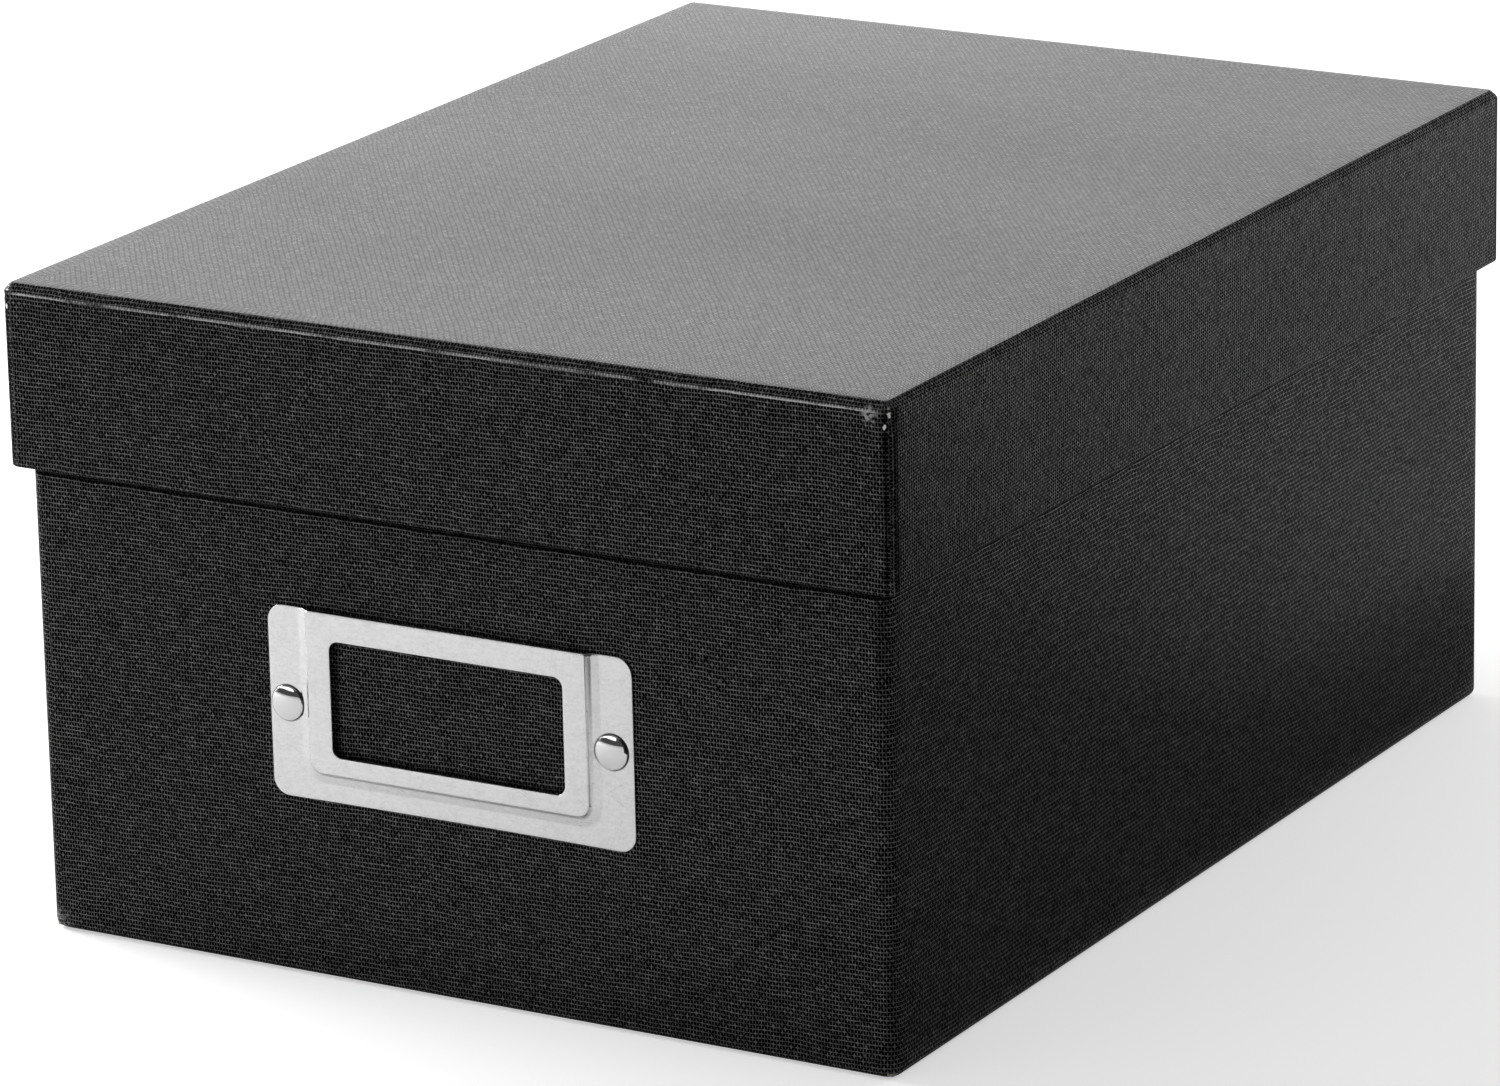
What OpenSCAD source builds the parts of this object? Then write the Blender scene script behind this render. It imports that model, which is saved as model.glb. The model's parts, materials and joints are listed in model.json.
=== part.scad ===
// Rigid set-up photo storage box: a folded greyboard tray and a telescoping lid,
// both wrapped in embossed covering paper, with a pressed metal label holder.
// Millimetres. +Z up, +Y to the back, origin under the middle of the base.

/* [Inside of the base] */
// Clear width between the lined side walls
inner_w = 187; // [140:1:260]
// Clear length between the lined front and back walls
inner_d = 256; // [180:1:360]
// Clear depth from the lined floor to the rim
inner_h = 128.5; // [100:0.5:180]

/* [Board and papers] */
// Thickness of the greyboard
board_t = 1.8; // [1.4:0.1:2.6]
// Thickness of the embossed covering paper
wrap_t = 0.2; // [0.15:0.05:0.35]
// Thickness of the lining paper
liner_t = 0.15; // [0.1:0.05:0.3]
// Thickness of the sheet glued under the base
foot_t = 0.2; // [0.15:0.05:0.4]
// How far that sheet stays back from the edge of the base
foot_margin = 3.5; // [2.5:0.5:8]
// Width of covering paper that is turned under the base
turn_under = 16; // [10:1:30]
// Depth of covering paper that is turned in over a rim
turn_in = 18; // [12:1:24]
// How far the lining stays below a rim
liner_drop = 8; // [4:0.5:10]
// Width of a corner stay on each side of its corner
stay_w = 18; // [10:1:30]
// Thickness of a corner stay, pressed flush into the board
stay_t = 0.12; // [0.08:0.02:0.24]
// How far a corner stay stays back from the folded edge and from the rim
stay_gap = 3; // [2.5:0.5:6]
// Width of the seam where two folded walls meet
seam_w = 0.2; // [0.1:0.05:0.4]

/* [Rounding of the wrapped edges] */
// Radius of the upright edges of the base
base_corner_r = 3.2; // [2:0.1:4]
// Radius of the lower edges of the base
base_edge_r = 1.8; // [1.2:0.1:3]
// Radius of the upright edges of the lid
lid_corner_r = 2.4; // [2:0.1:4]
// Radius of the top edges of the lid
lid_edge_r = 2.8; // [1.2:0.1:3.5]

/* [Lid] */
// Height of the lid over all
lid_h = 37; // [34:0.5:60]
// Gap on each side between the base and the lined lid
lid_gap = 0.5; // [0.3:0.1:1.5]

/* [Label holder] */
// Width of the holder
holder_w = 81.5; // [79:0.5:100]
// Height of the holder
holder_h = 38.8; // [34:0.2:50]
// Height of the lower edge of the holder over the table
holder_z = 36.7; // [20:0.1:40]
// Thickness of its sheet metal
holder_t = 0.45; // [0.3:0.05:0.7]
// Radius of its outer corners
holder_r = 3.5; // [1:0.5:5]
// Height of the flat flange below the raised panel, up to the bend
flange_h = 4.4; // [3:0.1:6]
// How far the panel is raised over the flange, which is the room for a card
rise = 1.3; // [0.8:0.1:1.6]
// Run of the sloping bend between flange and panel
bend_run = 2; // [1.4:0.1:2.4]
// Radius of the panel's lower corners
panel_r = 2.4; // [1:0.1:3]
// Width of the window
window_w = 52.2; // [40:0.2:56]
// Height of the window
window_h = 23.5; // [16:0.1:25]
// Height of the window's lower edge over the holder's lower edge
window_z = 9.8; // [8.8:0.1:12]
// Radius of the window's corners
window_r = 2; // [0.5:0.5:4]

/* [Brads] */
// Diameter of a brad's head
head_d = 7.3; // [5:0.1:7.4]
// Height of a brad's head at its middle
head_h = 1.05; // [0.8:0.05:1.4]
// Radius of the rounded rim of the head
rim_r = 0.3; // [0.2:0.05:0.35]
// Margin between a brad's head and the side edge of the holder
head_margin = 0.75; // [0.5:0.05:1.5]
// Diameter of the punched hole for the prongs
brad_hole_d = 3; // [2.8:0.1:3.4]
// Width of a prong
prong_w = 2.2; // [1.6:0.1:2.2]
// Thickness of a prong
prong_t = 0.4; // [0.3:0.05:0.45]
// Length of a prong along the inside of the wall
prong_l = 9; // [6:0.5:14]
// Inside radius of the bend in a prong
prong_bend_r = 0.4; // [0.2:0.05:0.5]

/* [Hidden] */
$fn = 48;
eps = 1;             // how far a cut runs past the face that it opens
bend_steps = 6;      // facets along each rounded half of the holder's bend

// A tray is [board inside width, inside depth, height over the wrap, corner radius, edge radius].
wall_t = wrap_t + board_t;          // a wall without its lining
base_h = foot_t + wall_t + liner_t + inner_h;
base_w = inner_w + 2 * (liner_t + wall_t);
base_d = inner_d + 2 * (liner_t + wall_t);
BASE = [inner_w + 2 * liner_t, inner_d + 2 * liner_t, base_h - foot_t, base_corner_r, base_edge_r];

lid_lining = liner_t + wrap_t;
lid_in_w = base_w + 2 * (lid_gap + lid_lining);
lid_in_d = base_d + 2 * (lid_gap + lid_lining);
LID = [lid_in_w, lid_in_d, lid_h, lid_corner_r, lid_edge_r];
box_h = base_h + liner_t + wall_t;

front_y = -base_d / 2;              // the base's covered front face
holder_top = holder_z + holder_h;
brad_x = holder_w / 2 - head_margin - head_d / 2;
bend_x = brad_x - head_d / 2 + rim_r;              // the bend starts under the head's rounded rim
panel_edge = bend_x - bend_run;                    // half the width of the flat raised panel
panel_z = holder_z + flange_h + bend_run;          // lower edge of the flat raised panel
brad_z = holder_z + holder_h / 2;

BASE_STAYS = ["base_stay_front_left", "base_stay_front_right", "base_stay_back_left", "base_stay_back_right"];
LID_STAYS = ["lid_stay_front_left", "lid_stay_front_right", "lid_stay_back_left", "lid_stay_back_right"];
CORNERS = [[-1, -1], [1, -1], [-1, 1], [1, 1]];

// ---- shapes -------------------------------------------------------------

// A rectangle about the origin with rounded corners.
module rounded_rect(w, d, r) {
  square([w - 2 * r, d], center = true);
  square([w, d - 2 * r], center = true);
  for (x = [-1, 1], y = [-1, 1])
    translate([x * (w / 2 - r), y * (d / 2 - r)])
      circle(r);
}

// What rounding takes off a sharp edge: the corner of a square, less a circle.
module edge_waste(length, r) {
  linear_extrude(length, center = true)
    mirror([0, 1])
      difference() {
        square(r + eps);
        circle(r);
      }
}

// A block on z = 0 with rounded upright and lower edges and a flat top.
module soft_block(w, d, h, corner_r, edge_r) {
  difference() {
    linear_extrude(h)
      rounded_rect(w, d, corner_r);
    for (side = [0, 1]) {
      mirror([side, 0, 0])
        translate([w / 2 - edge_r, 0, edge_r])
          rotate([90, 0, 0])
            edge_waste(2 * d, edge_r);
      mirror([0, side, 0])
        translate([0, d / 2 - edge_r, edge_r])
          rotate([90, 0, 90])
            edge_waste(2 * w, edge_r);
    }
  }
}

// A plain block about the Z axis between two heights.
module block(w, d, low, high) {
  translate([-w / 2, -d / 2, low])
    cube([w, d, high - low]);
}

// ---- parts of a wrapped tray, floor at z = 0 ------------------------------

// The outside of the board, drawn in by a depth.
module board_body(tray, depth) {
  w = tray[0] + 2 * (board_t - depth);
  d = tray[1] + 2 * (board_t - depth);
  h = tray[2] - 2 * wrap_t;
  translate([0, 0, wrap_t])
    soft_block(w, d, h, tray[3] - wrap_t - depth, tray[4] - wrap_t);
}

// One gummed tape round an upright corner, let into the board.
module stay(tray, corner) {
  reach_x = tray[0] / 2 + board_t;
  reach_y = tray[1] / 2 + board_t;
  low = wrap_t + stay_gap;
  high = tray[2] - wrap_t - stay_gap;
  intersection() {
    translate([corner[0] * reach_x, corner[1] * reach_y, 0])
      block(2 * stay_w, 2 * stay_w, low, high);
    difference() {
      board_body(tray, 0);
      board_body(tray, stay_t);
    }
  }
}

// The scored blank folded up into a tray, with a seam at each upright corner.
module tray_board(tray) {
  w = tray[0];
  d = tray[1];
  difference() {
    board_body(tray, 0);
    block(w, d, wall_t, tray[2] + eps);
    for (corner = CORNERS) {
      stay(tray, corner);
      translate([corner[0] * w / 2, corner[1] * d / 2, wall_t])
        rotate([0, 0, atan2(corner[1], corner[0])])
          translate([-eps, -seam_w / 2, 0])
            cube([2 * board_t + eps, seam_w, tray[2]]);
    }
  }
}

// The covering paper: outside, over the rim and turned in along the inside of the walls.
module tray_wrap(tray) {
  w = tray[0];
  d = tray[1];
  h = tray[2];
  difference() {
    soft_block(w + 2 * wall_t, d + 2 * wall_t, h, tray[3], tray[4]);
    difference() {
      board_body(tray, 0);
      block(w, d, h - turn_in, h);
    }
    block(w - 2 * wrap_t, d - 2 * wrap_t, 2 * wrap_t, h + eps);
  }
}

// The lining paper: over the floor and up the walls, lapped over the turned-in paper.
module tray_liner(tray) {
  w = tray[0];
  d = tray[1];
  h = tray[2];
  lap = 2 * wrap_t;
  difference() {
    union() {
      block(w, d, wall_t, h - turn_in);
      block(w - lap, d - lap, wall_t, h - liner_drop);
    }
    block(w - 2 * liner_t, d - 2 * liner_t, wall_t + liner_t, h - turn_in - liner_t);
    block(w - 2 * liner_t - lap, d - 2 * liner_t - lap, wall_t + liner_t, h);
  }
}

module in_base() {
  translate([0, 0, foot_t])
    children();
}

module in_lid() {
  translate([0, 0, box_h])
    mirror([0, 0, 1])
      children();
}

// The two punched holes through the front wall.
module brad_holes() {
  for (side = [-1, 1])
    translate([side * brad_x, front_y - rise, brad_z])
      rotate([-90, 0, 0])
        cylinder(d = brad_hole_d, h = rise + wall_t + liner_t + eps);
}

// ---- base -----------------------------------------------------------------

module base_board() {
  color("tan")
    difference() {
      in_base() tray_board(BASE);
      brad_holes();
    }
}

module base_stay(i) {
  color("peru")
    in_base() stay(BASE, CORNERS[i]);
}

module base_wrap() {
  color([0.13, 0.13, 0.14])
    difference() {
      in_base() tray_wrap(BASE);
      block(base_w - 2 * turn_under, base_d - 2 * turn_under, foot_t - eps, foot_t + wrap_t + eps);
      brad_holes();
    }
}

module base_liner() {
  color([0.2, 0.2, 0.21])
    difference() {
      in_base() tray_liner(BASE);
      brad_holes();
    }
}

// The sheet under the base: on the turned-under paper at its edge, on the board in the middle.
module foot_sheet() {
  hollow_w = base_w - 2 * turn_under;
  hollow_d = base_d - 2 * turn_under;
  color([0.1, 0.1, 0.1])
    difference() {
      union() {
        linear_extrude(foot_t)
          rounded_rect(base_w - 2 * foot_margin, base_d - 2 * foot_margin, base_edge_r);
        block(hollow_w, hollow_d, 0, foot_t + wrap_t);
      }
      block(hollow_w - 2 * foot_t, hollow_d - 2 * foot_t, -eps, wrap_t);
    }
}

// ---- label holder -----------------------------------------------------------

// Height of the bend at a distance from the panel's flat edge, as an S of two arcs.
bend_r = (bend_run * bend_run + rise * rise) / (4 * rise);
bend_angle = 2 * atan(rise / bend_run);
BEND = concat(
  [for (i = [0 : bend_steps])
    let (a = bend_angle * i / bend_steps)
      [bend_r * sin(a), rise - bend_r * (1 - cos(a))]],
  [for (i = [bend_steps - 1 : -1 : 0])
    let (a = bend_angle * i / bend_steps)
      [bend_run - bend_r * sin(a), bend_r * (1 - cos(a))]]
);

// Half of a section across the raised panel, from its middle out to the flange.
module half_mound(flat, low) {
  polygon(concat(
    [[0, -low], [0, rise]],
    [for (p = BEND) [flat + p[0], p[1]]],
    [[flat + bend_run, -low]]
  ));
}

// The raised panel with its bends, as a solid that stands a depth out of the wall.
// low is how far it reaches back into the wall, high how far it passes the holder's top.
module mound(depth, low, high) {
  centre_x = panel_edge - panel_r;
  centre_z = panel_z + panel_r;
  translate([0, front_y - depth, centre_z]) {
    for (side = [0, 1])
      mirror([side, 0, 0])
        mirror([0, 1, 0])
          linear_extrude(holder_top - centre_z + high)
            half_mound(panel_edge, low);
    rotate([0, 90, 180])
      linear_extrude(2 * centre_x, center = true)
        half_mound(panel_r, low);
    for (side = [0, 1])
      mirror([side, 0, 0])
        translate([centre_x, 0, 0])
          rotate([90, 0, 0])
            rotate_extrude(angle = -90)
              half_mound(panel_r, low);
  }
}

// A flat plate with rounded corners that stands on the front wall.
module front_plate(w, h, low_z, r, thick) {
  translate([0, front_y, low_z + h / 2])
    rotate([90, 0, 0])
      linear_extrude(thick)
        rounded_rect(w, h, r);
}

module label_holder() {
  color([0.78, 0.78, 0.79])
    difference() {
      union() {
        front_plate(holder_w, holder_h, holder_z, holder_r, holder_t);
        mound(holder_t, holder_t, 0);
      }
      mound(0, eps, eps);
      front_plate(window_w, window_h, holder_z + window_z, window_r, rise + holder_t + eps);
      brad_holes();
    }
}

// ---- brads --------------------------------------------------------------------

// Half a section of the head: a low dome with a rounded rim.
module head_section() {
  flat_r = head_d / 2 - rim_r;
  dome = head_h - 2 * rim_r;
  dome_r = (flat_r * flat_r + dome * dome) / (2 * dome);
  intersection() {
    translate([0, head_h - dome_r])
      circle(dome_r, $fn = 160);
    square([flat_r, head_h]);
  }
  translate([flat_r, rim_r])
    circle(rim_r);
}

// Section of one prong: through the wall, round its bend and flat along the lining.
module prong_section() {
  through = holder_t + wall_t + liner_t;
  outer_r = prong_bend_r + prong_t;
  translate([0, prong_bend_r - through])
    square([prong_t, through - prong_bend_r]);
  translate([outer_r, prong_bend_r - through])
    difference() {
      circle(outer_r);
      circle(prong_bend_r);
      translate([-2 * outer_r, 0])
        square(4 * outer_r);
      translate([0, -2 * outer_r])
        square(4 * outer_r);
    }
  translate([outer_r, -through - prong_t])
    square([prong_l, prong_t]);
}

// Outline of one prong seen along its hole, with a pointed tip.
module prong_outline() {
  tip = prong_bend_r + prong_t + prong_l;
  polygon([
    [0, -prong_w / 2], [tip - prong_w, -prong_w / 2], [tip, -prong_w / 8],
    [tip, prong_w / 8], [tip - prong_w, prong_w / 2], [0, prong_w / 2]
  ]);
}

// A split brad pushed through the holder and the wall, its prongs bent open inside.
module brad(x) {
  color([0.82, 0.82, 0.83])
    translate([x, front_y - holder_t, brad_z])
      rotate([90, 0, 0]) {
        rotate_extrude()
          head_section();
        for (side = [0, 1])
          mirror([side, 0, 0])
            intersection() {
              rotate([90, 0, 0])
                linear_extrude(prong_w, center = true)
                  prong_section();
              translate([0, 0, -base_d / 2])
                linear_extrude(base_d)
                  prong_outline();
            }
      }
}

module left_brad() {
  brad(-brad_x);
}

module right_brad() {
  brad(brad_x);
}

// ---- lid --------------------------------------------------------------------

module lid_board() {
  color("tan")
    in_lid() tray_board(LID);
}

module lid_stay(i) {
  color("peru")
    in_lid() stay(LID, CORNERS[i]);
}

module lid_wrap() {
  color([0.15, 0.15, 0.16])
    in_lid() tray_wrap(LID);
}

module lid_liner() {
  color([0.2, 0.2, 0.21])
    in_lid() tray_liner(LID);
}

// ---- draw -------------------------------------------------------------------

base_board();
for (i = [0 : 3])
  base_stay(i);
base_wrap();
base_liner();
foot_sheet();
label_holder();
left_brad();
right_brad();
lid_board();
for (i = [0 : 3])
  lid_stay(i);
lid_wrap();
lid_liner();
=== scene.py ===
"""The looks of a photo storage box: a rigid card box in black linen-look paper, with a
lift-off lid and a pressed metal label holder. Lengths are in metres, +Z up, +Y to the back."""

import json
import math

import bmesh
import bpy
import numpy as np
from mathutils import Matrix, Vector, geometry, noise


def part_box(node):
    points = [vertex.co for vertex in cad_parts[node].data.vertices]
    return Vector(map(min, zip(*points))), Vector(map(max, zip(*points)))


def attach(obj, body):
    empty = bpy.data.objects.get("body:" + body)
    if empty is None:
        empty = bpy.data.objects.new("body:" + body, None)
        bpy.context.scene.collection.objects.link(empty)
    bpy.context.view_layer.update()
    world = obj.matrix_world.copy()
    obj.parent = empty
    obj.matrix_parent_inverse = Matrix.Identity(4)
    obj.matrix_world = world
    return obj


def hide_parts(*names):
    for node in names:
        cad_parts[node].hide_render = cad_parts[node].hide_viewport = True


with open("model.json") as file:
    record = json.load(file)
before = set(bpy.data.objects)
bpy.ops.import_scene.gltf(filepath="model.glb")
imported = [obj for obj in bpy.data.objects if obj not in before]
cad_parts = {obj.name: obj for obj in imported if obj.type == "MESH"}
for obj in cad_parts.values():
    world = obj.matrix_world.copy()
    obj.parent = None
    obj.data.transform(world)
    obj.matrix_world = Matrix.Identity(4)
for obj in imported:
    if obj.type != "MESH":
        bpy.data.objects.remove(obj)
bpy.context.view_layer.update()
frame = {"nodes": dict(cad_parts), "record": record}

MM = 0.001
PHOTO_SIZE = (1500, 1086)       # pixels
MAP = "threads"                 # UV map in metres along the paper's threads


# ---- sizes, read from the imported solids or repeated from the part's source ----------------

def half_size(node):
    low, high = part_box(node)
    return (high.x - low.x) / 2, (high.y - low.y) / 2, low.z, high.z


LID_X, LID_Y, LID_LOW, LID_TOP = half_size("lid_wrap")
BASE_X, BASE_Y, BASE_LOW, BASE_TOP = half_size("base_wrap")
FRONT = -BASE_Y                 # the base's covered front face

PAPER = 0.2 * MM                # covering paper
BOARD = 1.8 * MM                # greyboard
LINING = 0.15 * MM              # lining paper
TURN_IN = 18 * MM               # covering paper turned in over a rim
TURN_UNDER = 16 * MM            # and turned under the base
LID_CORNER, LID_EDGE = 2.4 * MM, 2.8 * MM
FOLD_DROP = 1.75 * MM           # the lid's front begins this far under its top
LAP = 1.39 * MM                 # a lap of the paper lies this far inside each side of the lid
BASE_CORNER, BASE_EDGE = 3.2 * MM, 1.8 * MM
RIM = 0.55 * MM                 # radius of the covered rims
WALL = BOARD + 2 * PAPER        # a wall with its covering paper
LID_PAPER, BASE_PAPER = "covering paper of the lid", "covering paper of the base"

HOLDER_X, _, HOLDER_LOW, HOLDER_TOP = half_size("label_holder")
SHEET = 0.45 * MM               # the holder's sheet metal
RISE = 1.3 * MM                 # its raised panel over its flange
FLANK = math.radians(52)        # slope of the steep flank between them
FLANK_FOLD, FOOT_FOLD = 0.35 * MM, 1.3 * MM      # bend radii above and below the flank
FOOT = math.radians(16)         # a slight slope follows, to a faint last crease
BEND_RUN = 2.7 * MM             # from the panel's edge to that crease
PANEL_X = 31.0 * MM             # half the width of the flat raised panel
PANEL_LOW = HOLDER_LOW + 6.4 * MM
PANEL_CORNER = 2.4 * MM
HOLDER_CORNER = 3.5 * MM
WINDOW_X, WINDOW_LOW, WINDOW_TOP = 26.1 * MM, HOLDER_LOW + 9.8 * MM, HOLDER_LOW + 33.3 * MM
WINDOW_CORNER = 2 * MM
ROLL = 0.13 * MM                # how far a punched edge rolls over
BRAD_X = HOLDER_X - 4.4 * MM
BRAD_Z = (HOLDER_LOW + HOLDER_TOP) / 2
BRAD_HOLE = 1.5 * MM            # radius of the punched hole
HEAD_H = 1.05 * MM              # height of the brads' heads
DOME_R, DOME_SLOPE = 3.3 * MM, math.radians(19)  # their domes' radius, and slope at its edge
SHOULDER = 0.5 * MM             # radius of the bend from the dome to the wall under it
SLACK = 0.35 * MM               # play of a brad in its hole
BRAD_SEED = 5                   # of the brads' small turns
PRONG_WIDE, PRONG_THICK, PRONG_LONG, PRONG_BEND = 2.2 * MM, 0.4 * MM, 9 * MM, 0.4 * MM
PRONG_TIP = (0.42, 0.28, 0.125)    # its half widths towards the tip, as shares of its width


# ---- shader nodes as expressions -----------------------------------------------------------

COLOUR_A, COLOUR_B = 6, 7       # places of a Mix node's colour sockets


class Value:
    """A number that varies over a surface. Arithmetic on it adds Math nodes."""

    def __init__(self, finish, socket):
        self.finish, self.socket = finish, socket

    def sum(self, kind, *others, clamp=False):
        values = dict(enumerate((self,) + others))
        return self.finish.node("ShaderNodeMath", {"operation": kind, "use_clamp": clamp}, values)

    def __add__(self, other):
        return self.sum("ADD", other)

    def __radd__(self, other):
        return self.sum("ADD", other)

    def __mul__(self, other):
        return self.sum("MULTIPLY", other)

    def __rmul__(self, other):
        return self.sum("MULTIPLY", other)

    def __sub__(self, other):
        return self.sum("SUBTRACT", other)

    def __rsub__(self, other):
        return (self * -1.0).sum("ADD", other)

    def __truediv__(self, other):
        return self.sum("DIVIDE", other)

    def __pow__(self, other):
        return self.sum("POWER", other)

    def cos(self):
        return self.sum("COSINE")

    def round(self):
        return self.sum("ROUND")

    def clip(self):
        return self.sum("ADD", 0.0, clamp=True)

    def over(self, other):
        return self.sum("MAXIMUM", other)

    def under(self, other):
        return self.sum("MINIMUM", other)

    def size(self):
        return self.sum("ABSOLUTE")

    def step(self, low, high):
        """0 below low and 1 above high, with a smooth step between them."""
        return self.finish.node(
            "ShaderNodeMapRange", {"interpolation_type": "SMOOTHSTEP"},
            {"Value": self, "From Min": low, "From Max": high})


class Finish:
    """A material, or the world, and the one method that adds a node to it."""

    def __init__(self, name, world=False):
        owner = bpy.data.worlds if world else bpy.data.materials
        self.block = owner.new(name)
        self.block.use_nodes = True
        self.tree = self.block.node_tree
        self.tree.nodes.clear()

    def node(self, kind, settings=None, inputs=None, out=0):
        made = self.tree.nodes.new(kind)
        for name, setting in (settings or {}).items():
            setattr(made, name, setting)
        for key, value in (inputs or {}).items():
            socket = made.inputs[key]
            if isinstance(value, Value):
                self.tree.links.new(value.socket, socket)
            else:
                socket.default_value = value
        return Value(self, made.outputs[out])

    def place(self):
        return self.node("ShaderNodeTexCoord", out="Object")

    def threads(self):
        """Where a point lies on the paper, along and across its threads, in metres."""
        spot = self.node("ShaderNodeUVMap", {"uv_map": MAP})
        return self.parts(spot)[:2]

    def parts(self, vector):
        return [self.node("ShaderNodeSeparateXYZ", {}, {0: vector}, out=i) for i in range(3)]

    def vector(self, x, y, z=0.0):
        return self.node("ShaderNodeCombineXYZ", {}, {0: x, 1: y, 2: z})

    def stretched(self, vector, x, y, z):
        return self.node("ShaderNodeVectorMath", {"operation": "MULTIPLY"}, {0: vector, 1: (x, y, z)})

    def away(self, vector, spot):
        """Distance from a spot."""
        return self.node("ShaderNodeVectorMath", {"operation": "DISTANCE"}, {0: vector, 1: spot}, out=1)

    def turned(self, vector, angle):
        """A vector turned about the Y axis."""
        return self.node("ShaderNodeVectorRotate", {"rotation_type": "AXIS_ANGLE"},
                         {"Vector": vector, "Axis": (0.0, 1.0, 0.0), "Angle": angle})

    def clouds(self, vector, scale, detail=2.0, rough=0.5, flat=False):
        """Noise from 0 to 1 about 0.5."""
        return self.node(
            "ShaderNodeTexNoise", {"noise_dimensions": "2D" if flat else "3D"},
            {"Vector": vector, "Scale": scale, "Detail": detail, "Roughness": rough})

    def blend(self, share, low, high):
        """A colour between two, each given as a grey, a colour or a link."""
        sockets = {0: share}
        for key, end in ((COLOUR_A, low), (COLOUR_B, high)):
            if isinstance(end, (int, float)):
                end = (end, end, end)
            if isinstance(end, tuple):
                end = end + (1.0,)
            sockets[key] = end
        return self.node("ShaderNodeMix", {"data_type": "RGBA"}, sockets, out=2)

    def bumps(self, height, deep, strength=1.0):
        return self.node(
            "ShaderNodeBump", {}, {"Height": height, "Distance": deep, "Strength": strength})

    def surface(self, **settings):
        """Closes the material with a Principled shader. _ stands for a space in a socket's name."""
        sockets = {name.replace("_", " "): value for name, value in settings.items()}
        shader = self.node("ShaderNodeBsdfPrincipled", {}, sockets)
        return self.close(shader)

    def close(self, shader, kind="ShaderNodeOutputMaterial"):
        last = self.tree.nodes.new(kind)
        self.tree.links.new(shader.socket, last.inputs[0])
        return self.block


# ---- finishes -------------------------------------------------------------------------------

WARP_PITCH, WEFT_PITCH = 0.644 * MM, 0.857 * MM        # pitch of the embossed threads


def linen(finish):
    """The embossed net of threads: its height, which is 0 in the pits between the threads,
    how full each thread is along its length, and a number of its own for each crossing."""
    u, v = finish.threads()
    sway = finish.clouds(finish.vector(u, v), 110, 2, flat=True) - 0.5
    sway_too = finish.clouds(finish.vector(v, u), 90, 2, flat=True) - 0.5
    a = (u + sway * (0.7 * MM)) / WARP_PITCH
    b = (v + sway_too * (0.9 * MM)) / WEFT_PITCH
    warp, weft = a.round(), b.round()
    lean = ((a - b) * math.pi).cos()                 # every second crossing stands higher
    rib_a = 0.5 + 0.5 * (a * math.tau).cos()
    rib_b = 0.5 + 0.5 * (b * math.tau).cos()
    full_a = finish.clouds(finish.vector(warp * 3.7, v * 700), 1.0, 2, 0.6, flat=True)
    full_b = finish.clouds(finish.vector(u * 340, weft * 4.3), 1.0, 2, 0.6, flat=True)
    high_a = rib_a ** 2.6 * (0.75 + 0.28 * lean) * (0.5 + 1.1 * full_a)
    high_b = rib_b ** 2.6 * (0.84 + 0.18 * lean) * (0.4 + 1.2 * full_b)
    crossing = finish.node("ShaderNodeTexWhiteNoise", {"noise_dimensions": "2D"},
                           {"Vector": finish.vector(warp, weft)})
    return high_a.over(high_b), full_a.over(full_b), crossing


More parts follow.
